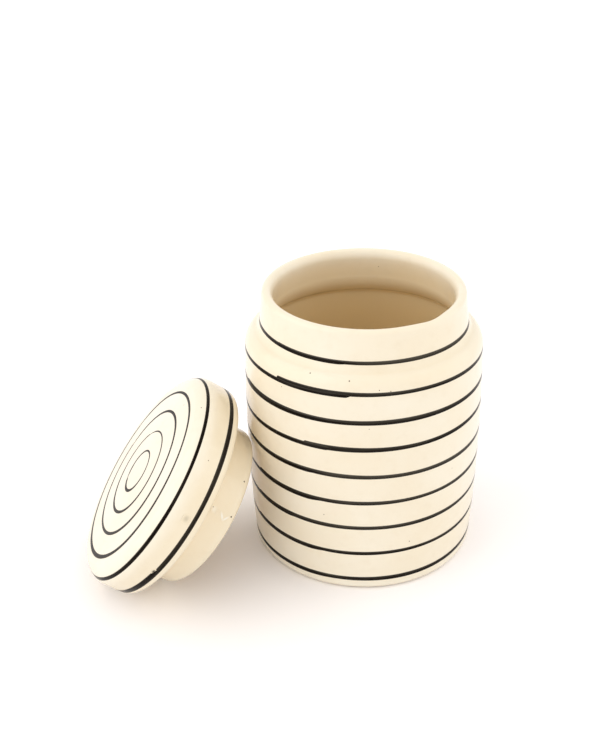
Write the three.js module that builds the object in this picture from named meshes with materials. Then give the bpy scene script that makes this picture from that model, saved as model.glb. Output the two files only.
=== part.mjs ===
// A glazed ceramic storage jar with a lift-off lid, in millimetres, +Z up.
// The origin is on the jar's axis, on the surface that the jar stands on.
// The lid is off: it stands on the same surface and leans against the jar's -X side.

import * as THREE from "three";

// Jar body
const BODY_RADIUS = 49.3; // outside, where the wall meets the shoulder
const FOOT_TAPER = 0.7; // how much narrower the wall is at the foot
const BODY_BOW = 1.2; // how far the wall swells between foot and shoulder
const BODY_HEIGHT = 93.65; // from the base to where the wall turns in
const BODY_WALL = 5;
const FLOOR_THICKNESS = 6;
const FOOT_ROUND = 3;
const FLOOR_ROUND = 6; // inside, between floor and wall

// Shoulder and neck
const SHOULDER_ROUND = 8;
const NECK_SET_IN = 6.4; // from the body's outside to the foot of the neck
const NECK_ROUND = 5; // hollow round between shoulder and neck
const NECK_HEIGHT = 12.6; // above that round, up to the rim
const NECK_TAPER = 1.2; // how much narrower the neck is at the rim
const NECK_WALL = 4.6; // at the rim
const RIM_OUTER_ROUND = 2; // the rim's inner round takes the rest of the wall

// Lid: a thick disc with a collar under it that drops into the neck
const LID_OVERHANG = 5.65; // past the rim's outside
const LID_HEIGHT = 19; // from its seat on the rim to its crown
const CROWN_RISE = 1.2;
const LID_EDGE_ROUND = 7.5;
const LIP_ROUND = 2.5;
const COLLAR_CLEARANCE = 1.5; // to the neck's bore, all round
const COLLAR_DEPTH = 15.7;
const COLLAR_WALL = 6;
const COLLAR_END_ROUND = 3;
const COLLAR_ROOT_ROUND = 1;
const CROWN_WALL = 7; // above the lid's hollow
const HOLLOW_ROUND = 5;

// How the lid leans
const LEAN_ANGLE = THREE.MathUtils.degToRad(51.9); // of the lid's axis from upright
const LEAN_OFFSET = 13.7; // of the lid's axis from the jar's, towards -Y
const LEAN_GAP = 0.8; // between lid and jar

// Fineness of the turned surfaces
const TURN_SEGMENTS = 64;
const ARC_DIVISIONS = 2; // each arc has twice as many straight pieces
const CONTACT_STEPS = 720;

// Radii and heights that follow from the sizes above
const footRadius = BODY_RADIUS - FOOT_TAPER;
const neckFootRadius = BODY_RADIUS - NECK_SET_IN;
const rimRadius = neckFootRadius - NECK_TAPER;
const boreRadius = rimRadius - NECK_WALL;
const collarRadius = boreRadius - COLLAR_CLEARANCE;
const lidRadius = rimRadius + LID_OVERHANG;

const RIGHT = 0;
const UP = Math.PI / 2;
const LEFT = Math.PI;
const DOWN = -Math.PI / 2;

// Carries an outline on to a point by an arc that stands bow proud of the straight line, away from the axis.
function bowTo(outline, x, y, bow) {
  const start = outline.currentPoint.clone();
  const end = new THREE.Vector2(x, y);
  const half = start.distanceTo(end) / 2;
  const radius = (half ** 2 + bow ** 2) / (2 * bow);
  const downward = y < start.y;
  const along = downward ? start.clone().sub(end) : end.clone().sub(start);
  const inward = new THREE.Vector2(-along.y, along.x).normalize();
  const centre = start.clone().add(end).divideScalar(2).addScaledVector(inward, radius - bow);
  const from = Math.atan2(start.y - centre.y, start.x - centre.x);
  const to = Math.atan2(end.y - centre.y, end.x - centre.x);
  outline.absarc(centre.x, centre.y, radius, from, to, downward);
}

// Half section of the jar from the middle of its base, up the outside, over the rim and down inside to the floor.
function jarSection() {
  const outline = new THREE.Path();
  outline.moveTo(0, 0);

  // Base, foot and wall
  const footCentre = footRadius - FOOT_ROUND;
  outline.lineTo(footCentre, 0);
  outline.absarc(footCentre, FOOT_ROUND, FOOT_ROUND, DOWN, RIGHT);
  bowTo(outline, BODY_RADIUS, BODY_HEIGHT, BODY_BOW);

  // Shoulder: a round that turns in, then a hollow round that touches it and runs up into the neck
  const shoulderCentre = BODY_RADIUS - SHOULDER_ROUND;
  const hollowCentre = neckFootRadius + NECK_ROUND;
  const hollowRise = Math.sqrt((SHOULDER_ROUND + NECK_ROUND) ** 2 - (hollowCentre - shoulderCentre) ** 2);
  const touch = Math.atan2(hollowRise, hollowCentre - shoulderCentre);
  const neckFoot = BODY_HEIGHT + hollowRise;
  outline.absarc(shoulderCentre, BODY_HEIGHT, SHOULDER_ROUND, RIGHT, touch);
  outline.absarc(hollowCentre, neckFoot, NECK_ROUND, touch - Math.PI, -Math.PI, true);

  // Neck and rim
  const rimHeight = neckFoot + NECK_HEIGHT;
  const rimInnerRound = NECK_WALL - RIM_OUTER_ROUND;
  outline.absarc(rimRadius - RIM_OUTER_ROUND, rimHeight - RIM_OUTER_ROUND, RIM_OUTER_ROUND, RIGHT, UP);
  outline.absarc(boreRadius + rimInnerRound, rimHeight - rimInnerRound, rimInnerRound, UP, LEFT);

  // Throat and the shoulder's underside, which follow the outside a wall's thickness behind it
  outline.absarc(hollowCentre, neckFoot, NECK_ROUND + BODY_WALL, LEFT, LEFT + touch);
  outline.absarc(shoulderCentre, BODY_HEIGHT, SHOULDER_ROUND - BODY_WALL, touch, RIGHT, true);

  // The inside of the wall, and the floor
  const insideFoot = footRadius - BODY_WALL;
  bowTo(outline, insideFoot, FLOOR_THICKNESS + FLOOR_ROUND, BODY_BOW);
  outline.absarc(insideFoot - FLOOR_ROUND, FLOOR_THICKNESS + FLOOR_ROUND, FLOOR_ROUND, RIGHT, DOWN, true);
  outline.lineTo(0, FLOOR_THICKNESS);
  return outline.getPoints(ARC_DIVISIONS);
}

// Half section of the lid about its own axis, with its seat on the rim at height 0.
// It runs from the hollow's ceiling, down inside the collar, up its outside and round the disc to the crown.
function lidSection() {
  const outline = new THREE.Path();
  const ceiling = LID_HEIGHT - CROWN_WALL;
  outline.moveTo(0, ceiling);

  // Hollow and collar
  const hollowRadius = collarRadius - COLLAR_WALL;
  const endRound = Math.min(COLLAR_END_ROUND, COLLAR_WALL / 2);
  const endCentre = endRound - COLLAR_DEPTH;
  outline.lineTo(hollowRadius - HOLLOW_ROUND, ceiling);
  outline.absarc(hollowRadius - HOLLOW_ROUND, ceiling - HOLLOW_ROUND, HOLLOW_ROUND, UP, RIGHT, true);
  outline.absarc(hollowRadius + endRound, endCentre, endRound, LEFT, LEFT + UP);
  outline.absarc(collarRadius - endRound, endCentre, endRound, DOWN, RIGHT);
  outline.absarc(collarRadius + COLLAR_ROOT_ROUND, -COLLAR_ROOT_ROUND, COLLAR_ROOT_ROUND, LEFT, UP, true);

  // Lip, edge and crown
  const edgeCentre = lidRadius - LID_EDGE_ROUND;
  const edgeTop = LID_HEIGHT - CROWN_RISE;
  const crownRadius = (edgeCentre ** 2 + CROWN_RISE ** 2) / (2 * CROWN_RISE);
  const crownTurn = Math.asin(edgeCentre / crownRadius);
  outline.absarc(lidRadius - LIP_ROUND, LIP_ROUND, LIP_ROUND, DOWN, RIGHT);
  outline.absarc(edgeCentre, edgeTop - LID_EDGE_ROUND, LID_EDGE_ROUND, RIGHT, UP - crownTurn);
  outline.absarc(0, LID_HEIGHT - crownRadius, crownRadius, UP - crownTurn, UP);
  return outline.getPoints(ARC_DIVISIONS);
}

// A half section turned about +Z.
function turned(section) {
  return new THREE.LatheGeometry(section, TURN_SEGMENTS).rotateX(UP);
}

// The largest radius of a half section at one height, or 0 above and below it.
function radiusAt(section, height) {
  let widest = 0;
  for (let i = 1; i < section.length; i += 1) {
    const low = section[i - 1];
    const high = section[i];
    const rise = high.y - low.y;
    const share = rise === 0 ? 0 : (height - low.y) / rise;
    if (rise !== 0 && share >= 0 && share <= 1) {
      widest = Math.max(widest, low.x + share * (high.x - low.x));
    }
  }
  return widest;
}

// Where the lid's own origin lies when the tipped lid stands on the table and leans LEAN_GAP from the jar's wall.
function leanPlace(lidOutline, jarOutline) {
  const rim = [];
  for (const { x: radius, y: height } of lidOutline) {
    for (let k = 0; k < CONTACT_STEPS; k += 1) {
      const turn = (2 * Math.PI * k) / CONTACT_STEPS;
      const across = radius * Math.cos(turn);
      rim.push(
        new THREE.Vector3(
          across * Math.cos(LEAN_ANGLE) - height * Math.sin(LEAN_ANGLE),
          radius * Math.sin(turn) - LEAN_OFFSET,
          across * Math.sin(LEAN_ANGLE) + height * Math.cos(LEAN_ANGLE),
        ),
      );
    }
  }
  const lift = -rim.reduce((lowest, point) => Math.min(lowest, point.z), Infinity);
  let reach = Infinity;
  for (const point of rim) {
    const wall = radiusAt(jarOutline, point.z + lift);
    const clear = wall + LEAN_GAP;
    if (wall > 0 && Math.abs(point.y) < clear) {
      reach = Math.min(reach, -Math.sqrt(clear ** 2 - point.y ** 2) - point.x);
    }
  }
  return new THREE.Vector3(reach, -LEAN_OFFSET, lift);
}

// A cream glaze, shiny and lightly uneven.
function creamGlaze() {
  return new THREE.MeshStandardMaterial({ color: 0xf3e7cd, roughness: 0.25, metalness: 0 });
}

const jarOutline = jarSection();
const lidOutline = lidSection();

const jarBody = new THREE.Mesh(turned(jarOutline), creamGlaze());
jarBody.name = "jar_body";

const lid = new THREE.Mesh(turned(lidOutline), creamGlaze());
lid.name = "lid";

const leaningLid = new THREE.Group();
leaningLid.position.copy(leanPlace(lidOutline, jarOutline));
leaningLid.rotation.y = -LEAN_ANGLE;
leaningLid.add(lid);

const storageJar = new THREE.Group();
storageJar.add(jarBody, leaningLid);

export default storageJar;
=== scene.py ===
"""Looks of a hand-painted ceramic storage jar with its lid off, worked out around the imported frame.

Jar and lid are turned forms: half sections carried round an axis and bent a little out of true. The painted
lines are brush strokes laid on those forms. Lengths are in metres, apart from names that end in _mm.
"""

import math
from typing import NamedTuple

import bpy
import numpy as np
from bpy.props import FloatProperty, FloatVectorProperty, PointerProperty
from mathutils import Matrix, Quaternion, Vector


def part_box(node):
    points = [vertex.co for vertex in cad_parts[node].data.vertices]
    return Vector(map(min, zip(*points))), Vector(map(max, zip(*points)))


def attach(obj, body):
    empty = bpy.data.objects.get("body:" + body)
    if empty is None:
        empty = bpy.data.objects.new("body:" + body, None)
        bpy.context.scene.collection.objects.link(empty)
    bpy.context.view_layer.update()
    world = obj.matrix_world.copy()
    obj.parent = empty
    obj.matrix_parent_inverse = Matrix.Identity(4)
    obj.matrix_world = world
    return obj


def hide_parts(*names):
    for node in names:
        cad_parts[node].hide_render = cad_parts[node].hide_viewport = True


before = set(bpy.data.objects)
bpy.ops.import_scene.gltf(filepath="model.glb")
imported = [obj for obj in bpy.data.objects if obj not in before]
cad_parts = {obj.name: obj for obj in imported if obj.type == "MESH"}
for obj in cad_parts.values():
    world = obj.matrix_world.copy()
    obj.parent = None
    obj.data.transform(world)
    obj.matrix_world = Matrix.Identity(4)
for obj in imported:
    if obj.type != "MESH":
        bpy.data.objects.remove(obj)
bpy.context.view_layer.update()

bl_info = {
    "name": "Painted Storage Jar",
    "version": (1, 0, 0),
    "blender": (4, 5, 0),
    "location": "View3D > Sidebar > Storage Jar",
    "description": "Adds a glazed storage jar with a leaning lid and brushed lines, dressed around its frame",
    "category": "Add Mesh",
}

MM = 0.001
QUARTER = math.pi / 2


# Settings


def linear(code):
    """An sRGB hex colour as linear light.

    A share c of full light becomes c / 12.92 where it is small, else ((c + 0.055) / 1.055) to the power 2.4.
    """
    share = np.array([int(code[k : k + 2], 16) for k in (1, 3, 5)]) / 255
    light = np.where(share <= 0.04045, share / 12.92, ((share + 0.055) / 1.055) ** 2.4)
    return (*light.tolist(), 1.0)


def length(name, size_mm, description):
    """A setting for a length, given in millimetres."""
    return FloatProperty(name=name, description=description, default=size_mm * MM, unit="LENGTH", precision=4)


def angle(name, degrees, description):
    """A setting for an angle, given in degrees."""
    return FloatProperty(name=name, description=description, default=math.radians(degrees), subtype="ANGLE")


def strength(name, share, description):
    """A setting for a strength of light."""
    return FloatProperty(name=name, description=description, default=share, min=0, subtype="FACTOR")


def colour(name, code, description):
    """A setting for a colour, given as an sRGB hex value."""
    return FloatVectorProperty(
        name=name, description=description, default=linear(code), size=4, min=0, max=1, subtype="COLOR"
    )


def place(name, point, description):
    """A setting for a place."""
    return FloatVectorProperty(name=name, description=description, default=point, subtype="TRANSLATION")


class JarSizes(bpy.types.PropertyGroup):
    """Sizes of the jar's turned body."""

    body_radius: length("Body radius", 49.3, "Outside, where the wall meets the shoulder")
    foot_taper: length("Foot taper", 0.7, "How much narrower the wall is at the foot")
    body_bow: length("Body bow", 1.2, "How far the wall swells between foot and shoulder")
    body_height: length("Body height", 93.65, "From the base to where the wall turns in")
    body_wall: length("Body wall", 5, "Thickness of the wall")
    floor_thickness: length("Floor", 6, "Thickness of the floor")
    foot_round: length("Foot round", 3, "Round at the bottom edge")
    floor_round: length("Floor round", 6, "Inside, between floor and wall")
    shoulder_round: length("Shoulder round", 8, "Round that turns the wall in")
    neck_set_in: length("Neck set-in", 6.4, "From the body's outside to the foot of the neck")
    neck_round: length("Neck round", 5, "Hollow round between shoulder and neck")
    neck_height: length("Neck height", 12.6, "Above that round, up to the rim")
    neck_taper: length("Neck taper", 1.2, "How much narrower the neck is at the rim")
    neck_wall: length("Neck wall", 4.6, "Thickness at the rim")
    rim_round: length("Rim round", 2, "The rim's outer round")
    rim_fall: length("Rim fall", 3.8, "How far down the rim's inner round reaches")
    throat_lift: length("Throat lift", 1.3, "How much thinner the shoulder is than the wall, upwards")
    rim_swing: length("Rim swing", 0.95, "How far the rim rises on its high side and falls on the other")
    rim_high: angle("Rim high side", 100, "Direction of the rim's high side")
    rim_dip: length("Rim dip", 0.4, "How much further the rim falls on its low side")
    nick_depth: length("Nick depth", 0.8, "How far the worn spot in the rim gives way")
    nick_angle: angle("Nick direction", -61, "Direction of the worn spot in the rim")
    out_of_round: length("Out of round", 0.12, "How far the hand-turned wall leaves a true circle")


class LidSizes(bpy.types.PropertyGroup):
    """Sizes of the lid, a thick disc with a collar that drops into the neck."""

    overhang: length("Overhang", 5.65, "How far the lid reaches past the rim")
    height: length("Height", 19, "From its seat on the rim to its crown")
    crown_rise: length("Crown rise", 1.2, "Swell of the crown")
    edge_round: length("Edge round", 7.5, "Round between crown and side")
    lip_round: length("Lip round", 2.5, "Round at the side's lower edge")
    collar_clearance: length("Collar clearance", 1.5, "To the neck's bore, all round")
    collar_depth: length("Collar depth", 15.7, "From the seat to the collar's end")
    collar_wall: length("Collar wall", 6, "Thickness of the collar")
    collar_end_round: length("Collar end round", 3, "Round at the collar's end")
    collar_root_round: length("Collar root round", 1, "Hollow round between collar and seat")
    crown_wall: length("Crown wall", 7, "Thickness above the lid's hollow")
    hollow_round: length("Hollow round", 5, "Round at the edge of the hollow's ceiling")
    lean: angle("Lean", 51.9, "Of the lid's axis from upright")
    out_of_round: length("Out of round", 0.1, "How far the hand-turned lid leaves a true circle")


class Finish(bpy.types.PropertyGroup):
    """Colours of the glaze, the paint and the bare clay."""

    cream: colour("Cream glaze", "#FAF1DE", "Where the glaze lies even")
    warm: colour("Warm glaze", "#F7EAD1", "Where the glaze has drawn thicker")
    buff: colour("Buff flecks", "#D8BE92", "The clay that shows through the glaze in flecks")
    # The lining colour: a thicker poured lining glaze inside the jar and under the lid, and painted shade
    # there and on the shoulder, the rim's top and the lid's side and collar.
    lining_and_shade: colour("Lining glaze", "#EDD4A3", "Poured thicker inside the jar and under the lid")
    # A pale colour for the V-shaped marks on the lid's collar.
    run: colour("Glaze run", "#FFFAEE", "Thick white glaze that ran and set")
    paint: colour("Brush black", "#130D08", "Iron black under the glaze")
    speck: colour("Iron speck", "#6E5B3E", "Specks that burnt through the glaze")
    burnt: colour("Burnt iron", "#3E3122", "The darkest grains in a speck")
    biscuit: colour("Biscuit", "#DCCDB2", "The bare clay of the base")
    sand: colour("Sand", "#BFA986", "Coarser grains in the bare clay")


class Stage(bpy.types.PropertyGroup):
    """The camera, the pale floor and the light."""

    place: place("Camera place", (-0.07237, -0.35058, 0.26745), "Where the camera stands")
    aim: place("Camera aim", (-0.0271, 0, 0.07875), "Point in the middle of the view")
    roll: angle("Camera roll", -1.59, "Turn of the camera about its line of sight")
    lens: FloatProperty(name="Lens", description="Focal length on 36 mm film", default=45.6, unit="CAMERA")
    floor: colour("Floor", "#F4F1EE", "The pale floor")
    floor_lift: colour("Floor lift", "#79767C", "How much paler the backdrop shows the floor")
    sky_level: strength("Sky level", 0.92, "Light from all round")
    key_level: strength("Key level", 0.25, "Light from the soft lamps on either side")


# Turned forms

ROUND_STEP = 0.35 * MM  # between points on a round
CROWN_STEP = 1 * MM  # between points on the lid's crown
WALL_STEP = 1.5 * MM  # between points on a long wall
ROUND_POINTS = 5  # at the least
SAME_POINT = 1e-7  # two points that lie this close are one
SLOPE_WAY = 0.02 * MM  # half the stretch over which a slope is taken
SLOPE_TURN = SLOPE_WAY / (30 * MM)  # the angle that is about as long
NICK_TURN = math.radians(9)  # how far round the worn spot reaches to either side
NICK_REACH = 6 * MM  # how far down it reaches
NICK_FALL = 0.4  # how much of its depth lowers the rim
LID_WARP = 0.05 * MM  # how far the lid's disc is bent

# Waves in the hand-turned forms: humps in a turn, share, phase, and climb in radians per metre

JAR_WAVES = ((2, 1, -1.2, 0), (3, 0.5, 3.3, 0), (5, 0.25, 0, 1 / (9 * MM)))
LID_WAVES = ((2, 1, 0.8, 0), (3, 0.5, -1.0, 0), (7, 0.2, 0, 1 / (7 * MM)))


def unevenness(waves, a, height):
    """The sum of some waves at angle a: share cos(humps a + phase + climb height)."""
    return sum(share * np.cos(humps * a + phase + climb * height) for humps, share, phase, climb in waves)


def smooth(share):
    """An even rise from 0 to 1: 3 t^2 - 2 t^3, with t held between 0 and 1."""
    t = np.clip(share, 0, 1)
    return t * t * (3 - 2 * t)


def arc(centre, radius, start, end, step=ROUND_STEP):
    """Points of a circle, (x + radius cos t, y + radius sin t), with t evenly from start to end."""
    count = max(ROUND_POINTS, math.ceil(abs(end - start) * radius / step) + 1)
    t = np.linspace(start, end, count)
    return np.column_stack([centre[0] + radius * np.cos(t), centre[1] + radius * np.sin(t)])


def quarter_oval(centre, across, up):
    """Points of a quarter oval from its top inwards: (x - across sin t, y + up cos t), t to 90 degrees."""
    t = np.linspace(0, QUARTER, max(ROUND_POINTS, math.ceil(QUARTER * up / ROUND_STEP)))
    return np.column_stack([centre[0] - across * np.sin(t), centre[1] + up * np.cos(t)])


def bow(start, end, rise):
    """Points of the circle through start and end that stands rise proud of the line between them."""
    start, end = np.array(start), np.array(end)
    half = np.linalg.norm(end - start) / 2
    radius = (half**2 + rise**2) / (2 * rise)
    along = (end - start) * np.sign(end[1] - start[1])
    inward = np.array([-along[1], along[0]]) / np.linalg.norm(along)
    centre = (start + end) / 2 + inward * (radius - rise)
    first, last = (math.atan2(p[1] - centre[1], p[0] - centre[0]) for p in (start, end))
    return arc(centre, radius, first, last, WALL_STEP)


def way_along(outline):
    """How far each point of an outline lies from its first, along it."""
    return np.concatenate([[0], np.cumsum(np.linalg.norm(np.diff(outline, axis=0), axis=1))])


def joined(*runs):
    """One outline through the runs in order, with points added on long straight stretches."""
    outline = np.vstack(runs)
    gap = np.linalg.norm(np.diff(outline, axis=0), axis=1)
    outline = outline[np.concatenate([[True], gap > SAME_POINT])]
    way = way_along(outline)
    extra = np.arange(0, way[-1], WALL_STEP)
    nearest = np.abs(extra[:, None] - way[None, :]).min(axis=1)
    ways = np.union1d(way, extra[nearest > WALL_STEP / 2])
    return np.column_stack([np.interp(ways, way, outline[:, k]) for k in (0, 1)])


class Radii(NamedTuple):
    """Radii that jar and lid share."""

    foot: float
    neck_foot: float
    rim: float
    bore: float
    collar: float
    lid: float


def shared_radii(jar, lid):
    """Works the radii out from the outside in, and the lid's from the neck that it fits."""
    neck_foot = jar.body_radius - jar.neck_set_in
    rim = neck_foot - jar.neck_taper
    bore = rim - jar.neck_wall
    return Radii(
        foot=jar.body_radius - jar.foot_taper,
        neck_foot=neck_foot,
        rim=rim,
        bore=bore,
        collar=bore - lid.collar_clearance,
        lid=rim + lid.overhang,
    )


def jar_section(jar, radii):
    """Half section of the jar from the middle of its base, up the outside, over the rim and down inside."""
    foot_centre = radii.foot - jar.foot_round
    shoulder_centre = jar.body_radius - jar.shoulder_round
    hollow_centre = radii.neck_foot + jar.neck_round
    across = hollow_centre - shoulder_centre
    rise = math.sqrt((jar.shoulder_round + jar.neck_round) ** 2 - across**2)
    touch = math.atan2(rise, across)
    neck_foot = jar.body_height + rise
    rim = neck_foot + jar.neck_height
    inner_round = jar.neck_wall - jar.rim_round
    throat = (hollow_centre, neck_foot + jar.throat_lift)
    under_shoulder = (shoulder_centre, jar.body_height + jar.throat_lift)
    inside = jar.body_radius - jar.body_wall
    inside_foot = radii.foot - jar.body_wall
    floor_edge = jar.floor_thickness + jar.floor_round
    return joined(
        [(0, 0)],
        arc((foot_centre, jar.foot_round), jar.foot_round, -QUARTER, 0),
        bow((radii.foot, jar.foot_round), (jar.body_radius, jar.body_height), jar.body_bow),
        arc((shoulder_centre, jar.body_height), jar.shoulder_round, 0, touch),
        arc((hollow_centre, neck_foot), jar.neck_round, touch - math.pi, -math.pi),
        arc((radii.rim - jar.rim_round, rim - jar.rim_round), jar.rim_round, 0, QUARTER),
        quarter_oval((radii.bore + inner_round, rim - jar.rim_fall), inner_round, jar.rim_fall),
        arc(throat, jar.neck_round + jar.body_wall, math.pi, math.pi + touch),
        arc(under_shoulder, jar.shoulder_round - jar.body_wall, touch, 0),
        bow((inside, jar.body_height), (inside_foot, floor_edge), jar.body_bow),
        arc((inside_foot - jar.floor_round, floor_edge), jar.floor_round, 0, -QUARTER),
        [(0, jar.floor_thickness)],
    )


def lid_section(lid, radii):
    """Half section of the lid from its hollow's ceiling, round the collar and the disc to the crown.

    Its seat on the rim is at height 0.
    """
    ceiling = lid.height - lid.crown_wall
    hollow = radii.collar - lid.collar_wall
    end_round = min(lid.collar_end_round, lid.collar_wall / 2)
    end = end_round - lid.collar_depth
    root = lid.collar_root_round
    edge = radii.lid - lid.edge_round
    edge_top = lid.height - lid.crown_rise
    crown = (edge**2 + lid.crown_rise**2) / (2 * lid.crown_rise)
    crown_turn = math.asin(edge / crown)
    return joined(
        [(0, ceiling)],
        arc((hollow - lid.hollow_round, ceiling - lid.hollow_round), lid.hollow_round, QUARTER, 0),
        arc((hollow + end_round, end), end_round, math.pi, 3 * QUARTER),
        arc((radii.collar - end_round, end), end_round, -QUARTER, 0),
        arc((radii.collar + root, -root), root, math.pi, QUARTER),
        arc((radii.lid - lid.lip_round, lid.lip_round), lid.lip_round, -QUARTER, 0),
        arc((edge, edge_top - lid.edge_round), lid.edge_round, 0, QUARTER - crown_turn),
        arc((0, lid.height - crown), crown, QUARTER - crown_turn, QUARTER, CROWN_STEP),
    )


class Turned:
    """A half section carried round its axis and bent a little out of true.

    The point at angle a and way s along the section is ((R + o) cos a, (R + o) sin a, Z + l). R and Z are
    the section's radius and height at s, and sway(a, R, Z) gives the outward and upward shifts o and l.
    The form is then turned and shifted into place.
    """

    def __init__(self, section, sway, turn=np.eye(3), shift=(0, 0, 0)):
        self.radius, self.height = section.T
        self.way = way_along(section)
        self.sway = sway
        self.turn = turn
        self.shift = np.array(shift)

    def point(self, a, way):
        """Places on the form, for arrays of angles and ways of one shape."""
        a, way = np.broadcast_arrays(a, way)
        radius = np.interp(way, self.way, self.radius)
        height = np.interp(way, self.way, self.height)
        out, lift = self.sway(a, radius, height)
        own = np.stack([(radius + out) * np.cos(a), (radius + out) * np.sin(a), height + lift], axis=-1)
        return own @ self.turn.T + self.shift

    def normal(self, a, way):
        """Outward directions: the cross product of the slopes along the angle and along the way."""
        round_it = self.point(a + SLOPE_TURN, way) - self.point(a - SLOPE_TURN, way)
        along_it = self.point(a, way + SLOPE_WAY) - self.point(a, way - SLOPE_WAY)
        cross = np.cross(round_it, along_it)
        return cross / np.linalg.norm(cross, axis=-1, keepdims=True)

    def by_height(self, part):
        """A function that gives the way at which a rising part of the section passes a height."""
        return lambda height: np.interp(height, self.height[part], self.way[part])

    def by_radius(self, part):
        """A function that gives the way at which a narrowing part of the section passes a radius."""
        return lambda radius: np.interp(radius, self.radius[part][::-1], self.way[part][::-1])


def jar_form(jar, radii):
    """The jar's form.

    Waves make its wall slightly uneven. Its rim rises by swing cos(a - high), dips further on the low side,
    and gives way in one worn spot, which fades as exp(-t^2) to either side.
    """
    section = jar_section(jar, radii)
    rim = section[:, 1].max()

    def sway(a, radius, height):
        girth = radius / jar.body_radius
        collar = smooth((height - jar.body_height) / (rim - jar.body_height))
        aside = np.angle(np.exp(1j * (a - jar.nick_angle)))
        nick = np.exp(-((aside / NICK_TURN) ** 2)) * smooth((height - rim + NICK_REACH) / NICK_REACH)
        inner = smooth((radii.rim - radius) / jar.neck_wall)
        out = girth * jar.out_of_round * unevenness(JAR_WAVES, a, height) + jar.nick_depth * nick * inner
        swing = np.cos(a - jar.rim_high)
        dip = np.clip(-swing, 0, 1) ** 2
        lift = collar * (jar.rim_swing * swing - jar.rim_dip * dip) - NICK_FALL * jar.nick_depth * nick
        return out, lift

    return Turned(section, sway)


def lid_form(lid, radii):
    """The lid's form, tipped about Y so that its axis leans. The frame's own lid gives its place.

    Its waves only draw it in, so that it stays inside the frame's lid.
    """
    section = lid_section(lid, radii)
    highest = sum(share for _, share, _, _ in LID_WAVES)

    def sway(a, radius, height):
        girth = radius / radii.lid
        drawn_in = unevenness(LID_WAVES, a, height) - highest
        return girth * lid.out_of_round * drawn_in, girth * LID_WARP * np.cos(2 * a)

    cos, sin = math.cos(lid.lean), math.sin(lid.lean)
    turn = np.array([[cos, 0, -sin], [0, 1, 0], [sin, 0, cos]])
    sides = np.vstack([section, section * (-1, 1)]) @ np.array([[cos, sin], [-sin, cos]])
    low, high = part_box("lid")
    shift = (low.x - sides[:, 0].min(), (low.y + high.y) / 2, low.z - sides[:, 1].min())
    return Turned(section, sway, turn, shift)


def outside(form):
    """The part of the jar's section from the base up to the top of the rim."""
    return slice(0, int(np.argmax(form.height)) + 1)


def disc_side(form):
    """The part of the lid's section from its widest point up to the middle of the crown."""
    return slice(int(np.argmax(form.radius)), None)


def collar_side(form):
    """The part of the lid's section from the collar's end up to the seat."""
    return slice(int(np.argmin(form.height)), int(np.argmax(form.radius)))


# Meshes

TURN_COLUMNS = 288  # points round a turned piece, to stay under 200,000 triangles
EVEN_POOL = 0.5  # pool where the surface is flat
POOL_ROUND = 2.5 * MM  # half the radius of a round that gathers or sheds all it can


def new_piece(name, points, faces, material, attributes=()):
    """A smooth mesh object from an array of points and lists of faces.

    An attribute is given by its name, its kind and its values, one for each point.
    """
    mesh = bpy.data.meshes.new(name)
    mesh.from_pydata(points, [], faces)
    mesh.polygons.foreach_set("use_smooth", np.ones(len(mesh.polygons), bool))
    for label, kind, values in attributes:
        layer = mesh.attributes.new(label, kind, "POINT")
        field = "vector" if kind == "FLOAT_VECTOR" else "value"
        layer.data.foreach_set(field, np.ravel(values).astype(np.float32))
    mesh.materials.append(material)
    mesh.validate()
    piece = bpy.data.objects.new(name, mesh)
    bpy.context.scene.collection.objects.link(piece)
    return piece


def ring_faces(rows, columns):
    """Quads between neighbouring rows of a grid whose columns close on themselves."""
    row, column = np.meshgrid(np.arange(rows - 1), np.arange(columns), indexing="ij")
    near = row * columns + column
    beside = row * columns + (column + 1) % columns
    return np.stack([near, beside, beside + columns, near + columns], axis=-1).reshape(-1, 4)


def pole_faces(rows, columns):
    """Triangles that close such a grid at both ends, to two points that follow its own."""
    near = np.arange(columns)
    beside = (near + 1) % columns
    pole = np.full(columns, rows * columns)
    last = (rows - 1) * columns
    start = np.column_stack([pole, beside, near])
    end = np.column_stack([last + near, last + beside, pole + 1])
    return np.vstack([start, end])


def turned_piece(name, form, material, lining_and_shade):
    """The whole form as a mesh: a grid of its section's points by even angles, with one point at each pole.

    Two attributes go to the glaze: pool, which rises in hollow rounds and falls on edges by the section's
    bend, and lining_and_shade, the share of the warmer lining colour for each point of the section, which
    paints shade as well as a thicker lining glaze.
    """
    a = np.arange(TURN_COLUMNS) * (2 * math.pi / TURN_COLUMNS)
    grid = form.point(a[None, :], form.way[1:-1, None])
    rows = len(grid)
    poles = form.point(np.zeros(2), form.way[[0, -1]])
    points = np.vstack([grid.reshape(-1, 3), poles])
    faces = ring_faces(rows, TURN_COLUMNS).tolist() + pole_faces(rows, TURN_COLUMNS).tolist()
    slope = np.unwrap(np.arctan2(np.gradient(form.height), np.gradient(form.radius)))
    pool = np.clip(EVEN_POOL - np.gradient(slope, form.way) * POOL_ROUND, 0, 1)
    attributes = [
        (label, "FLOAT", np.concatenate([np.repeat(share[1:-1], TURN_COLUMNS), share[[0, -1]]]))
        for label, share in (("pool", pool), ("lining_and_shade", lining_and_shade))
    ]
    return new_piece(name, points, faces, material, attributes)


# Brush strokes

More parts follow.
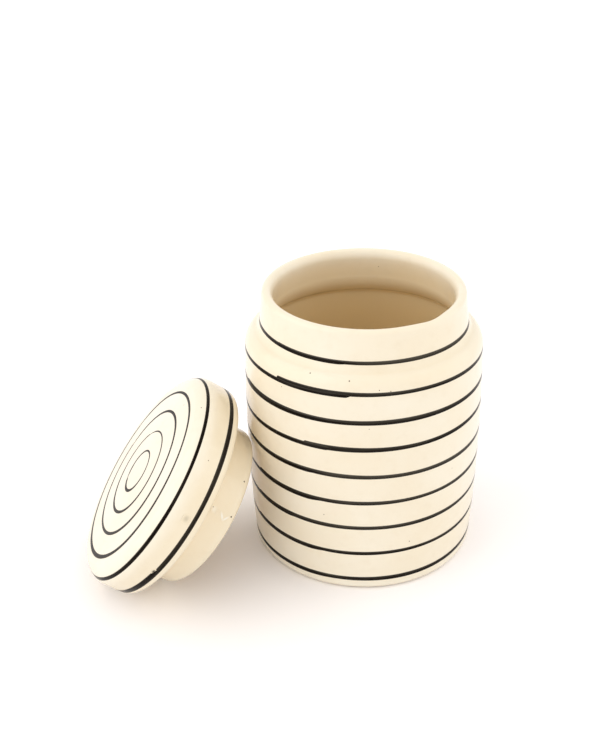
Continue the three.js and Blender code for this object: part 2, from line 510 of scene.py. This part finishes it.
PAINT_THICKNESS = 0.03 * MM
PAINT_EDGE = 0.35  # thickness at the edges, as a share
PAINT_SINK = 0.15 * MM  # depth of the underside in the glaze
LAP_RISE = 0.4 * PAINT_THICKNESS  # of a stroke's end above its start
TOP_POINTS = 7  # across a stroke
SMEAR_POINTS = 17  # across a soft mark
UNDERSIDE = (0.6, 0, -0.6)  # places across the underside
STROKE_STEP = 0.8 * MM  # between points along a stroke
STROKE_STEPS = 24  # at the least
BRUSH_TIP = 0.8 * MM  # length of a round end
TIP_POINTS = 8
TIP_LEAST = 0.01  # square of the width that a round end keeps, as a share
START_RUN = 40 * MM  # in which a line comes down from its start
START_DROP = 0.4  # share of its drop that lies there
END_RUN = 60 * MM  # in which it drops to its end
END_DROP = 0.6
SWELL_RUN = 55 * MM  # in which a wide start or end settles
LIFTED_WIDTH = 0.25  # where the brush leaves, as a share
DRY_RUN = 60 * MM  # in which the brush runs dry
WET_END = 45 * MM  # end of a stroke, which lies on fresh paint
WET_FADE = 30 * MM  # in which that begins to cover
EDGE_LOSS = 0.1  # of cover at the very edge
EDGE_POWER = 8
LEVEL_WAVER = 0.06 * MM
LEVEL_WAVES_MM = (11, 23)
WIDTH_WAVER = 0.05
WIDTH_WAVES_MM = (9, 31)
COVER_WAVER = 0.005
COVER_WAVES_MM = (17,)
TRACK_APART = 0.1  # between the bristle patterns of two strokes


class Stroke(NamedTuple):
    """One painted line. Sizes are in millimetres and directions in degrees."""

    level_mm: float  # height on a wall, or radius on the crown
    width_mm: float  # once the brush has settled
    swing_mm: float  # how far the line rises on its high side
    high: float  # direction of the high side
    start: float  # where the brush was set down
    lap: float  # how far it ran past its own start
    drop_mm: float  # how far below its start the line came round again
    lift_mm: float = 30  # how far the brush ran while it left the glaze
    heavy: float = 180  # direction in which the brush was pressed hardest
    pressure: float = 0  # how much wider the line is there
    swell: float = 0  # how much wider the line starts
    tail: float = 0  # how much wider the line ends
    dry: float = 0.02  # how much cover the paint loses between its two ends
    smear: float = 0  # for a soft mark instead of a line, how well its middle covers
    sag: float = 0.04  # how much more paint it holds at its lower edge, on an upright wall


def waver(run, sizes_mm, phases):
    """Slow waves along a stroke: the sum of sin(run / size + phase)."""
    return sum(np.sin(run / (size * MM) + phase) for size, phase in zip(sizes_mm, phases))


def stroke_run(total):
    """Distances along a stroke, which lie closer together in its round ends."""
    ends = BRUSH_TIP * np.linspace(0, 1, TIP_POINTS) ** 2
    middle = np.arange(BRUSH_TIP, total - BRUSH_TIP, min(STROKE_STEP, total / STROKE_STEPS))
    return np.union1d(middle, np.concatenate([ends, total - ends]))


def stroke_grid(form, stroke, way_of, seed):
    """A brush stroke as a thin closed band on the form: its points, its cover and its track.

    Its middle runs at level + swing cos(a - high), higher where it starts and lower where it ends. Its width
    grows by exp(-run / length) at a swollen start or tail and by pressure cos(a - heavy), shrinks where the
    brush lifts, and wavers. Both ends are round. Its top is domed by h (e + (1 - e) (1 - t^2)), with t from
    -1 to 1 across it, and its underside lies in the glaze. Its cover falls as the brush runs dry, and at the
    upper edge where paint sags. A smear covers by sin^2 along it and by (1 - t^2)^2 across it.
    """
    phases = np.random.default_rng(seed).uniform(0, 2 * math.pi, 5)
    girth = np.interp(way_of(stroke.level_mm * MM), form.way, form.radius)
    total = math.radians(360 + stroke.lap) * girth
    run = stroke_run(total)
    back = total - run
    a = math.radians(stroke.start) + run / girth

    # The middle's level
    lead = np.clip(1 - run / START_RUN, 0, 1)
    trail = smooth(1 - back / END_RUN)
    level = stroke.level_mm * MM + stroke.swing_mm * MM * np.cos(a - math.radians(stroke.high))
    level += stroke.drop_mm * MM * (START_DROP * lead - END_DROP * trail)
    level += LEVEL_WAVER * waver(run, LEVEL_WAVES_MM, phases[:2])

    # The width
    width = stroke.width_mm * MM * (1 + stroke.swell * np.exp(-run / SWELL_RUN))
    width *= 1 + stroke.tail * np.exp(-back / SWELL_RUN)
    width *= 1 + WIDTH_WAVER * waver(run, WIDTH_WAVES_MM, phases[2:4])
    width *= 1 + stroke.pressure * np.cos(a - math.radians(stroke.heavy))
    width *= LIFTED_WIDTH + (1 - LIFTED_WIDTH) * smooth(back / (stroke.lift_mm * MM))
    tip = np.minimum(np.minimum(run, back) / BRUSH_TIP, 1)
    width *= np.sqrt(np.clip(1 - (1 - tip) ** 2, TIP_LEAST, 1))

    # Points over the top and back along the underside
    top = np.linspace(-1, 1, SMEAR_POINTS if stroke.smear else TOP_POINTS)
    dome = PAINT_EDGE + (1 - PAINT_EDGE) * (1 - top**2)
    across = np.concatenate([top, UNDERSIDE])
    lift = np.concatenate([dome * PAINT_THICKNESS, np.full(len(UNDERSIDE), -PAINT_SINK)])
    aside = across[None, :] * width[:, None] / 2
    way = way_of(level)[:, None] + aside
    turn = np.broadcast_to(a[:, None], way.shape)
    above = lift[None, :] + LAP_RISE * (run / total)[:, None]
    points = form.point(turn, way) + form.normal(turn, way) * above[..., None]

    # The paint's cover, and the track that its bristles follow
    load = 1 - stroke.dry * smooth(run / DRY_RUN) * smooth((back - WET_END) / WET_FADE)
    load += COVER_WAVER * waver(run, COVER_WAVES_MM, phases[4:])
    edge = 1 - EDGE_LOSS * np.abs(across) ** EDGE_POWER
    if stroke.smear:
        load = stroke.smear * np.sin(math.pi * run / total) ** 2
        edge = (1 - across**2) ** 2
    upright = np.interp(way, form.way, np.gradient(form.height, form.way))
    cover = np.clip(load[:, None] * edge[None, :] - stroke.sag * upright * across[None, :], 0, 1)
    track = np.stack(np.broadcast_arrays(run[:, None], aside, TRACK_APART * seed), axis=-1)
    return points, cover, track


def strokes_piece(name, form, marks, material, lining_and_shade=0):
    """All of a form's strokes in one mesh. Each comes with its way_of, and both its ends are closed.

    Where the paint is thin the glaze shows as it is round the stroke, so pool and lining_and_shade, the
    lining colour with the shade it paints, are given here too.
    """
    points, faces, covers, tracks = [], [], [], []
    first = 0
    for number, (stroke, way_of) in enumerate(marks):
        grid, cover, track = stroke_grid(form, stroke, way_of, number + 1)
        rows, columns = cover.shape
        start = first + np.arange(columns)
        faces += (first + ring_faces(rows, columns)).tolist()
        faces += [start[::-1].tolist(), (start + (rows - 1) * columns).tolist()]
        first += rows * columns
        points.append(grid.reshape(-1, 3))
        covers.append(cover.ravel())
        tracks.append(track.reshape(-1, 3))
    attributes = [
        ("paint", "FLOAT", np.concatenate(covers)),
        ("brush", "FLOAT_VECTOR", np.concatenate(tracks)),
        ("pool", "FLOAT", np.full(first, EVEN_POOL)),
        ("lining_and_shade", "FLOAT", np.full(first, lining_and_shade)),
    ]
    return new_piece(name, np.vstack(points), faces, material, attributes)


# Specks

SPECK_ROWS = 5
SPECK_COLUMNS = 10
SPECK_FLATNESS = 0.3
SPECK_SIDE = (0.3, 0.2, 0.9)  # a direction that no speck faces, for its first axis


class Speck(NamedTuple):
    """A speck of iron in the glaze. Sizes are in millimetres, the direction in degrees."""

    direction: float
    level_mm: float
    across_mm: float


def specks_piece(name, form, marks, material):
    """Flat ellipsoids half sunk in the form. Each speck comes with its way_of.

    A point is c + d / 2 (cos u cos v, cos u sin v, f sin u), in axes of which the last is the form's normal.
    """
    u = np.linspace(-QUARTER, QUARTER, SPECK_ROWS + 2)[1:-1, None]
    v = np.arange(SPECK_COLUMNS)[None, :] * (2 * math.pi / SPECK_COLUMNS)
    rise = SPECK_FLATNESS * np.sin(u)
    ball = np.stack(np.broadcast_arrays(np.cos(u) * np.cos(v), np.cos(u) * np.sin(v), rise), axis=-1)
    unit = np.vstack([ball.reshape(-1, 3), [(0, 0, -SPECK_FLATNESS), (0, 0, SPECK_FLATNESS)]])
    quads = ring_faces(SPECK_ROWS, SPECK_COLUMNS)
    fans = pole_faces(SPECK_ROWS, SPECK_COLUMNS)
    points, faces = [], []
    for number, (speck, way_of) in enumerate(marks):
        a = np.array([math.radians(speck.direction)])
        way = np.array([way_of(speck.level_mm * MM)])
        upright = form.normal(a, way)[0]
        side = np.cross(upright, SPECK_SIDE)
        side /= np.linalg.norm(side)
        axes = np.array([side, np.cross(upright, side), upright])
        points.append(form.point(a, way)[0] + unit * (speck.across_mm * MM / 2) @ axes)
        first = number * len(unit)
        faces += (first + quads).tolist() + (first + fans).tolist()
    return new_piece(name, np.vstack(points), faces, material)


# Materials

ATTRIBUTE = "ShaderNodeAttribute"
MATH = "ShaderNodeMath"
NOISE = "ShaderNodeTexNoise"
RANGE = "ShaderNodeMapRange"
MIX = "ShaderNodeMix"
MIX_FACTOR, MIX_A, MIX_B, MIX_RESULT = 0, 6, 7, 2  # its sockets for colours


def feed(tree, node, inputs):
    """Links or sets a node's inputs by name or number. Another node stands for its first output."""
    for name, value in inputs.items():
        if isinstance(value, bpy.types.Node):
            value = value.outputs[0]
        if isinstance(value, bpy.types.NodeSocket):
            tree.links.new(value, node.inputs[name])
        else:
            node.inputs[name].default_value = value


def add(tree, kind, inputs=None, **settings):
    """Adds a node with its settings and its inputs."""
    node = tree.nodes.new(kind)
    for name, value in settings.items():
        setattr(node, name, value)
    feed(tree, node, inputs or {})
    return node


def per_mm(size_mm):
    """The scale of a pattern on coordinates in metres whose features are size_mm across."""
    return 1 / (size_mm * MM)


def empty_tree(owner):
    """The node tree of a new material or world, with nothing in it."""
    owner.use_nodes = True
    owner.node_tree.nodes.clear()
    return owner.node_tree


def empty_material(name):
    """A material with a Principled shader on its output, its tree and that shader."""
    material = bpy.data.materials.new(name)
    tree = empty_tree(material)
    shader = add(tree, "ShaderNodeBsdfPrincipled")
    add(tree, "ShaderNodeOutputMaterial", {"Surface": shader})
    return material, tree, shader


def glaze_nodes(tree, shader, finish):
    """Tin-white glaze over buff stoneware, dipped by hand and fired glossy. Returns its colour.

    It pools warmer in hollows and thins on edges, clouds over tens of millimetres, mottles over a few, lets
    fine iron specks through, and has an orange-peel skin. A warmer lining colour, laid in by the mesh's
    lining_and_shade attribute, paints shade as well as a thicker lining glaze.
    """
    where = add(tree, "ShaderNodeTexCoord").outputs["Object"]
    cloud = add(tree, NOISE, {"Vector": where, "Scale": per_mm(34), "Detail": 3.0})
    mottle = add(tree, NOISE, {"Vector": where, "Scale": per_mm(4.5), "Detail": 4.0, "Roughness": 0.6})

    # Thick glaze, in clouds and hollows
    drawn = add(tree, RANGE, {"Value": cloud, "From Min": 0.36, "From Max": 0.68})
    thick = add(tree, MATH, {0: drawn, 1: 0.8}, operation="MULTIPLY")
    pool = add(tree, ATTRIBUTE, attribute_name="pool").outputs["Fac"]
    gathered = add(tree, MATH, {0: pool, 1: 0.5, 2: thick}, operation="MULTIPLY_ADD", use_clamp=True)

    # Faint flecks of the clay, and the lining colour, which paints shade as well as a thicker lining glaze
    flecked = add(tree, RANGE, {"Value": mottle, "From Min": 0.5, "From Max": 0.78, "To Max": 0.1})
    lining_and_shade = add(tree, ATTRIBUTE, attribute_name="lining_and_shade").outputs["Fac"]

    # A fine speck in about one cell of four
    cells = add(tree, "ShaderNodeTexVoronoi", {"Vector": where, "Scale": per_mm(7.5)})
    ends = {"From Min": 0.012, "From Max": 0.04, "To Min": 1.0, "To Max": 0.0}
    dot = add(tree, RANGE, {"Value": cells, **ends}, interpolation_type="SMOOTHSTEP")
    chosen = add(tree, "ShaderNodeSeparateColor", {"Color": cells.outputs["Color"]})
    few = add(tree, MATH, {0: chosen, 1: 0.72}, operation="GREATER_THAN")
    fine = add(tree, MATH, {0: dot, 1: few}, operation="MULTIPLY")

    # One over the other
    tint = tuple(finish.cream)
    coats = ((gathered, finish.warm), (flecked, finish.buff), (lining_and_shade, finish.lining_and_shade), (fine, finish.speck))
    for share, coat in coats:
        mix = add(tree, MIX, {MIX_FACTOR: share, MIX_A: tint, MIX_B: tuple(coat)}, data_type="RGBA")
        tint = mix.outputs[MIX_RESULT]

    # The skin's bump and its uneven gloss
    skin = add(tree, NOISE, {"Vector": where, "Scale": per_mm(2.6), "Detail": 1.0})
    bump = add(tree, "ShaderNodeBump", {"Height": skin, "Strength": 0.25, "Distance": 0.06 * MM})
    ends = {"From Min": 0.3, "From Max": 0.7, "To Min": 0.16, "To Max": 0.24}
    gloss = add(tree, RANGE, {"Value": mottle, **ends})
    feed(tree, shader, {"Roughness": gloss, "Normal": bump, "IOR": 1.5})
    return tint


def cream_tin_glaze(finish):
    """The glaze on its own: warm white and glossy, never quite even."""
    material, tree, shader = empty_material("cream_tin_glaze")
    feed(tree, shader, {"Base Color": glaze_nodes(tree, shader, finish)})
    return material


def brushed(name, finish, tint):
    """Glaze with a tint brushed into it, by the strokes' own cover, streaked where the bristles parted."""
    material, tree, shader = empty_material(name)
    glaze = glaze_nodes(tree, shader, finish)
    cover = add(tree, ATTRIBUTE, attribute_name="paint").outputs["Fac"]
    track = add(tree, ATTRIBUTE, attribute_name="brush").outputs["Vector"]
    drawn = add(tree, "ShaderNodeMapping", {"Vector": track, "Scale": (per_mm(14), per_mm(0.5), 1.0)})
    bristle = add(tree, NOISE, {"Vector": drawn, "Scale": 1.0, "Detail": 2.0})
    ends = {"From Min": 0.35, "From Max": 0.7, "To Min": 1.01, "To Max": 0.985}
    parted = add(tree, RANGE, {"Value": bristle, **ends})
    dense = add(tree, MATH, {0: cover, 1: parted}, operation="MULTIPLY", use_clamp=True)
    mix = add(tree, MIX, {MIX_FACTOR: dense, MIX_A: glaze, MIX_B: tuple(tint)}, data_type="RGBA")
    feed(tree, shader, {"Base Color": mix.outputs[MIX_RESULT]})
    return material, shader


def iron_black_under_glaze(finish):
    """Iron black brushed on before the glaze was fired: dull, and denser where it gathered."""
    material, shader = brushed("iron_black_under_glaze", finish, finish.paint)
    shader.inputs["Specular IOR Level"].default_value = 0.04
    return material


def pale_collar_marks(finish):
    """Pale V-shaped marks on the lid's collar: paler than the glaze round them, and as glossy."""
    return brushed("pale_collar_marks", finish, finish.run)[0]


def iron_speck(finish):
    """Iron that bled up through the glaze: brown, and less glossy than the glaze round it."""
    material, tree, shader = empty_material("iron_speck")
    where = add(tree, "ShaderNodeTexCoord").outputs["Object"]
    grain = add(tree, NOISE, {"Vector": where, "Scale": per_mm(0.3)})
    sides = {MIX_A: tuple(finish.speck), MIX_B: tuple(finish.burnt)}
    mix = add(tree, MIX, {MIX_FACTOR: grain, **sides}, data_type="RGBA")
    feed(tree, shader, {"Base Color": mix.outputs[MIX_RESULT], "Roughness": 0.45})
    return material


def bare_stoneware(finish):
    """Unglazed stoneware on the base: matt, sandy and slightly uneven."""
    material, tree, shader = empty_material("bare_stoneware")
    where = add(tree, "ShaderNodeTexCoord").outputs["Object"]
    grit = add(tree, NOISE, {"Vector": where, "Scale": per_mm(0.9), "Detail": 3.0})
    sides = {MIX_A: tuple(finish.biscuit), MIX_B: tuple(finish.sand)}
    mix = add(tree, MIX, {MIX_FACTOR: grit, **sides}, data_type="RGBA")
    bump = add(tree, "ShaderNodeBump", {"Height": grit, "Strength": 0.4, "Distance": 0.1 * MM})
    feed(tree, shader, {"Base Color": mix.outputs[MIX_RESULT], "Normal": bump, "Roughness": 0.85})
    return material


# Camera, floor and light

FILM_HEIGHT_MM = 36
NEAREST_SEEN = 10 * MM
FLOOR_REACH = 3.0
FLOOR_DROP = 0.05 * MM  # below the base, so that the two don't flicker
WHITE = (1, 1, 1, 1)
LAMP_SPREAD = math.radians(70)  # how wide a lamp looks from the object
LAMPS = (
    ("left_softbox", (0.85, 0.05, -0.52), 1.0),
    ("right_softbox", (-0.87, 0.20, -0.46), 0.6),
)


def add_camera(scene, stage):
    """A camera at its place, aimed at the middle of the view and turned about its line of sight."""
    data = bpy.data.cameras.new("camera")
    data.sensor_fit = "VERTICAL"
    data.sensor_height = FILM_HEIGHT_MM
    data.lens = stage.lens
    data.clip_start = NEAREST_SEEN
    camera = bpy.data.objects.new("camera", data)
    sight = (Vector(stage.aim) - Vector(stage.place)).to_track_quat("-Z", "Y")
    camera.rotation_mode = "QUATERNION"
    camera.rotation_quaternion = sight @ Quaternion((0, 0, 1), stage.roll)
    camera.location = stage.place
    scene.collection.objects.link(camera)
    scene.camera = camera


def backdrop(tree, light, shown, output):
    """Joins two shaders into an output: light for most rays, and shown for those that see a backdrop.

    Those are the camera's rays, and the ones in reflections and clear materials.
    """
    path = add(tree, "ShaderNodeLightPath")
    share = path.outputs["Is Camera Ray"]
    for kind in ("Is Glossy Ray", "Is Transmission Ray"):
        share = add(tree, MATH, {0: share, 1: path.outputs[kind]}, operation="MAXIMUM")
    both = add(tree, "ShaderNodeMixShader", {0: share, 1: light, 2: shown})
    add(tree, output, {"Surface": both})


def add_floor(stage):
    """A wide floor of matt white card just under the base. It keeps the shadows and else reads as white."""
    corners = FLOOR_REACH * np.array([(-1, -1, 0), (1, -1, 0), (1, 1, 0), (-1, 1, 0)]) - (0, 0, FLOOR_DROP)
    material = bpy.data.materials.new("matt_white_card")
    tree = empty_tree(material)
    matt = add(tree, "ShaderNodeBsdfDiffuse", {"Color": tuple(stage.floor)})
    lift = add(tree, "ShaderNodeBsdfDiffuse", {"Color": tuple(stage.floor_lift)})
    lit = add(tree, "ShaderNodeAddShader", {0: matt, 1: lift})
    backdrop(tree, matt, lit, "ShaderNodeOutputMaterial")
    floor = new_piece("floor", corners, [(0, 1, 2, 3)], material)


def add_sky(scene, stage):
    """Even light from all round, which the camera and the glaze see as plain white."""
    scene.world = bpy.data.worlds.new("white_tent")
    tree = empty_tree(scene.world)
    light = add(tree, "ShaderNodeBackground", {"Color": WHITE, "Strength": stage.sky_level})
    white = add(tree, "ShaderNodeBackground", {"Color": WHITE, "Strength": 1.0})
    backdrop(tree, light, white, "ShaderNodeOutputWorld")


def add_lamps(scene, stage):
    """A wide soft lamp on either side, given by its direction and its share of the light."""
    for name, way, share in LAMPS:
        data = bpy.data.lights.new(name, "SUN")
        data.energy = math.pi * stage.key_level * share
        data.angle = LAMP_SPREAD
        lamp = bpy.data.objects.new(name, data)
        lamp.rotation_mode = "QUATERNION"
        lamp.rotation_quaternion = Vector(way).to_track_quat("-Z", "Y")
        scene.collection.objects.link(lamp)


# Painted lines, from the neck down and from the crown's middle out, then pale marks and specks

JAR_LINES = (
    Stroke(104.3, 1.66, 0.30, 168, -152, 47, 0.25, lift_mm=8, dry=0.05),
    Stroke(93.40, 1.65, 0.58, 245, -144, 37, 1.20, lift_mm=2, tail=0.1, dry=0.03),
    Stroke(81.95, 1.72, 0.07, 184, -172, 80, 0.55, swell=0.75),
    Stroke(69.90, 1.50, 0.36, 334, -129, 14, 0.30, lift_mm=3, swell=0.50, tail=0.45, dry=0.015),
    Stroke(57.70, 1.85, 0.45, 153, -165, 46, 0.40, lift_mm=8, swell=0.1, dry=0.045),
    Stroke(45.20, 1.75, 0.09, 25, -160, 41, 0.85, lift_mm=8, swell=0.1, dry=0.04),
    Stroke(32.80, 1.80, 0.03, 310, -162, 31, 0.80, lift_mm=8, swell=0.1, dry=0.035),
    Stroke(19.70, 1.62, 0.19, 348, -165, 47, 1.00, lift_mm=8, swell=0.1, dry=0.015),
    Stroke(5.75, 2.05, 0.55, 337, -128, 30, 0.30, swell=0.05, tail=0.1, dry=0.01),
)
CROWN_LINES = (
    Stroke(9.2, 1.10, 0.25, 200, 150, 10, 0.1, lift_mm=6, heavy=190, pressure=0.25),
    Stroke(18.7, 1.08, 0.40, 190, 60, 10, 0.1, lift_mm=12, heavy=210, pressure=0.3),
    Stroke(28.2, 1.35, 0.50, 165, 100, 10, 0.1, lift_mm=14, heavy=235, pressure=0.15),
    Stroke(37.8, 1.45, 0.65, 170, 90, 10, 0.1, lift_mm=16, heavy=240, pressure=0.25),
)
EDGE_LINES = (
    Stroke(14.45, 1.36, 0.35, 10, 150, 12, 0.2, heavy=215, pressure=0.12, swell=0.45, dry=0.005, sag=0.015),
    Stroke(4.2, 1.85, 0.25, 50, -160, 59, -0.9, lift_mm=3, swell=0.3, sag=0.015),
    Stroke(7.5, 3.20, 0.00, 0, -73, -355, 0.0, lift_mm=1, smear=0.26, sag=0),
    Stroke(5.0, 1.80, 0.00, 0, -104.5, -356, 0.0, lift_mm=1, smear=0.95, sag=0),
)
COLLAR_PALE_MARKS = (
    Stroke(-9.6, 1.6, 24.5, 27.3, -66.2, -353, 0.0, lift_mm=0.5, smear=0.9, sag=0),
    Stroke(-11.6, 1.4, 22.8, -153, -66.0, -354, 0.0, lift_mm=0.5, smear=0.9, sag=0),
    Stroke(-5.4, 2.8, 0.0, 0, -64.0, -354, 0.0, lift_mm=0.5, smear=0.5, sag=0),
)
JAR_SPECKS = (
    Speck(-126.8, 99.5, 0.50),
    Speck(-107.8, 98.8, 0.55),
    Speck(-94.5, 95.6, 0.40),
    Speck(-89.5, 94.9, 0.40),
    Speck(-78.6, 23.5, 0.45),
    Speck(35.0, 62.0, 0.50),
    Speck(120.0, 30.0, 0.45),
)
LID_SIDE_SPECKS = (Speck(-12.3, 16.6, 0.50), Speck(150.0, 9.0, 0.45))
COLLAR_SPECKS = (Speck(-35.8, -12.8, 0.70), Speck(-60.4, -13.3, 0.70))

# Shares of the lining colour in the glaze, and the lengths over which they come in. Down the throat and the
# well inside the jar it is a thicker lining glaze and painted shade; on the shoulder, the rim's top, the
# lid's side and its collar it is painted shade only.

THROAT_LINING_SHADE = 0.55
THROAT_FADE = 12 * MM
WELL_LINING_SHADE = 0.45
WELL_START = 8 * MM
WELL_FADE = 30 * MM
SHOULDER_SHADE = 0.22
SHOULDER_MIDDLE = 98 * MM
SHOULDER_REACH = 5 * MM
LIP_SHADE = 0.16
LIP_FADE = 3 * MM
SIDE_SHADE = 0.27
SIDE_START = 8 * MM
SIDE_FADE = 8 * MM
COLLAR_SHADE = 0.3
BARE_BELOW = 0.3 * MM  # the base is bare up to this height


# Operators


def shelf():
    """The scene's settings as jar, lid, finish and stage."""
    scene = bpy.context.scene
    return scene.jar_sizes, scene.lid_sizes, scene.jar_finish, scene.jar_stage


def forms():
    """The jar's and the lid's turned forms at the present settings."""
    jar, lid, _, _ = shelf()
    radii = shared_radii(jar, lid)
    return jar_form(jar, radii), lid_form(lid, radii)


def material_once(make):
    """The material that make is named for, made if the file doesn't hold it yet."""
    return bpy.data.materials.get(make.__name__) or make(bpy.context.scene.jar_finish)


class STORAGEJAR_OT_vessel(bpy.types.Operator):
    """Add the glazed jar body in place of the frame's plain one"""

    bl_idname = "storage_jar.vessel"
    bl_label = "Jar Body"

    def execute(self, context):
        form = forms()[0]
        glaze = material_once(cream_tin_glaze)
        rim = form.height.max()
        depth = form.way - form.way[np.argmax(form.height)]
        # Inside the jar the lining colour deepens down the throat and the well: a thicker lining glaze, and
        # painted shade that darkens the inside.
        throat = THROAT_LINING_SHADE * smooth(depth / THROAT_FADE)
        well = WELL_LINING_SHADE * smooth((depth - WELL_START) / WELL_FADE)
        # Painted shade in the lining colour on the shoulder and over the rim's top, which face upwards.
        shoulder = SHOULDER_SHADE * np.exp(-(((form.height - SHOULDER_MIDDLE) / SHOULDER_REACH) ** 2))
        lip = LIP_SHADE * smooth((form.height - rim + LIP_FADE) / LIP_FADE)
        lining_and_shade = np.maximum(throat + well, np.maximum(shoulder, lip))
        piece = turned_piece("jar_vessel", form, glaze, lining_and_shade)
        piece.data.materials.append(material_once(bare_stoneware))
        centres = np.empty(len(piece.data.polygons) * 3)
        piece.data.polygons.foreach_get("center", centres)
        bare = centres.reshape(-1, 3)[:, 2] < BARE_BELOW
        piece.data.polygons.foreach_set("material_index", bare.astype(np.int32))
        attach(piece, "jar")
        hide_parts("jar_body")
        return {"FINISHED"}


class STORAGEJAR_OT_vessel_lines(bpy.types.Operator):
    """Brush the black lines on the jar's wall and neck"""

    bl_idname = "storage_jar.vessel_lines"
    bl_label = "Jar Lines"

    def execute(self, context):
        form = forms()[0]
        wall = form.by_height(outside(form))
        marks = [(line, wall) for line in JAR_LINES]
        paint = material_once(iron_black_under_glaze)
        piece = strokes_piece("jar_brush_lines", form, marks, paint)
        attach(piece, "jar")
        return {"FINISHED"}


class STORAGEJAR_OT_cap(bpy.types.Operator):
    """Add the glazed lid in place of the frame's plain one"""

    bl_idname = "storage_jar.cap"
    bl_label = "Lid"

    def execute(self, context):
        form = forms()[1]
        glaze = material_once(cream_tin_glaze)
        end, seat = np.argmin(form.height), np.argmax(form.radius)
        count = np.arange(len(form.way))
        # Painted shade in the lining colour on the lower part of the lid's side and on its collar; in the
        # hollow under the lid it is a thicker lining glaze and painted shade.
        side = SIDE_SHADE * (1 - smooth((form.height - SIDE_START) / SIDE_FADE))
        lining_and_shade = np.where(count < end, 1, np.where(count < seat, COLLAR_SHADE, side))
        piece = turned_piece("lid_cap", form, glaze, lining_and_shade)
        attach(piece, "lid")
        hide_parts("lid")
        return {"FINISHED"}


class STORAGEJAR_OT_cap_lines(bpy.types.Operator):
    """Brush the black rings on the lid's crown and the two lines on its edge"""

    bl_idname = "storage_jar.cap_lines"
    bl_label = "Lid Lines"

    def execute(self, context):
        form = forms()[1]
        crown = form.by_radius(disc_side(form))
        edge = form.by_height(disc_side(form))
        marks = [(line, crown) for line in CROWN_LINES] + [(line, edge) for line in EDGE_LINES]
        paint = material_once(iron_black_under_glaze)
        # The lid's lines carry the side's painted shade, so that thin paint matches the glaze round it.
        piece = strokes_piece("lid_brush_lines", form, marks, paint, SIDE_SHADE)
        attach(piece, "lid")
        return {"FINISHED"}


class STORAGEJAR_OT_runs(bpy.types.Operator):
    """Add the small pale marks on the lid's collar"""

    bl_idname = "storage_jar.runs"
    bl_label = "Glaze Runs"

    def execute(self, context):
        form = forms()[1]
        collar = form.by_height(collar_side(form))
        marks = [(run, collar) for run in COLLAR_PALE_MARKS]
        white = material_once(pale_collar_marks)
        # The marks carry the collar's painted shade, so that they match the glaze round them.
        piece = strokes_piece("lid_pale_marks", form, marks, white, COLLAR_SHADE)
        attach(piece, "lid")
        return {"FINISHED"}


class STORAGEJAR_OT_specks(bpy.types.Operator):
    """Add the iron specks that show in the glaze of the jar and the lid"""

    bl_idname = "storage_jar.specks"
    bl_label = "Glaze Specks"

    def execute(self, context):
        jar, lid = forms()
        iron = material_once(iron_speck)
        wall = jar.by_height(outside(jar))
        side = lid.by_height(disc_side(lid))
        collar = lid.by_height(collar_side(lid))
        jar_marks = [(speck, wall) for speck in JAR_SPECKS]
        lid_marks = [(speck, side) for speck in LID_SIDE_SPECKS]
        lid_marks += [(speck, collar) for speck in COLLAR_SPECKS]
        jar_piece = specks_piece("jar_glaze_specks", jar, jar_marks, iron)
        lid_piece = specks_piece("lid_glaze_specks", lid, lid_marks, iron)
        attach(jar_piece, "jar")
        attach(lid_piece, "lid")
        return {"FINISHED"}


class STORAGEJAR_OT_stage(bpy.types.Operator):
    """Add the camera, the pale floor and soft light from all round and from either side"""

    bl_idname = "storage_jar.stage"
    bl_label = "Stage"

    def execute(self, context):
        stage = context.scene.jar_stage
        add_camera(context.scene, stage)
        add_floor(stage)
        add_sky(context.scene, stage)
        add_lamps(context.scene, stage)
        context.scene.view_settings.view_transform = "Standard"
        return {"FINISHED"}


class STORAGEJAR_PT_panel(bpy.types.Panel):
    """Settings and steps of the storage jar"""

    bl_idname = "STORAGEJAR_PT_panel"
    bl_label = "Storage Jar"
    bl_space_type = "VIEW_3D"
    bl_region_type = "UI"
    bl_category = "Storage Jar"

    def draw(self, context):
        for step in STEPS:
            self.layout.operator(step.bl_idname)
        for group in shelf():
            box = self.layout.box()
            for name in group.__annotations__:
                box.prop(group, name)


STEPS = (
    STORAGEJAR_OT_stage,
    STORAGEJAR_OT_vessel,
    STORAGEJAR_OT_vessel_lines,
    STORAGEJAR_OT_cap,
    STORAGEJAR_OT_cap_lines,
    STORAGEJAR_OT_runs,
    STORAGEJAR_OT_specks,
)
GROUPS = {"jar_sizes": JarSizes, "lid_sizes": LidSizes, "jar_finish": Finish, "jar_stage": Stage}


def register():
    """Registers the settings, the steps and the panel."""
    for name, group in GROUPS.items():
        bpy.utils.register_class(group)
        setattr(bpy.types.Scene, name, PointerProperty(type=group))
    for kind in (*STEPS, STORAGEJAR_PT_panel):
        bpy.utils.register_class(kind)


def unregister():
    """Takes them away again, last first."""
    for kind in (STORAGEJAR_PT_panel, *reversed(STEPS)):
        bpy.utils.unregister_class(kind)
    for name, group in reversed(GROUPS.items()):
        delattr(bpy.types.Scene, name)
        bpy.utils.unregister_class(group)


def main():
    """Registers the add-on and makes every piece."""
    register()
    bpy.ops.storage_jar.stage()
    bpy.ops.storage_jar.vessel()
    bpy.ops.storage_jar.vessel_lines()
    bpy.ops.storage_jar.cap()
    bpy.ops.storage_jar.cap_lines()
    bpy.ops.storage_jar.runs()
    bpy.ops.storage_jar.specks()


if __name__ == "__main__":
    main()
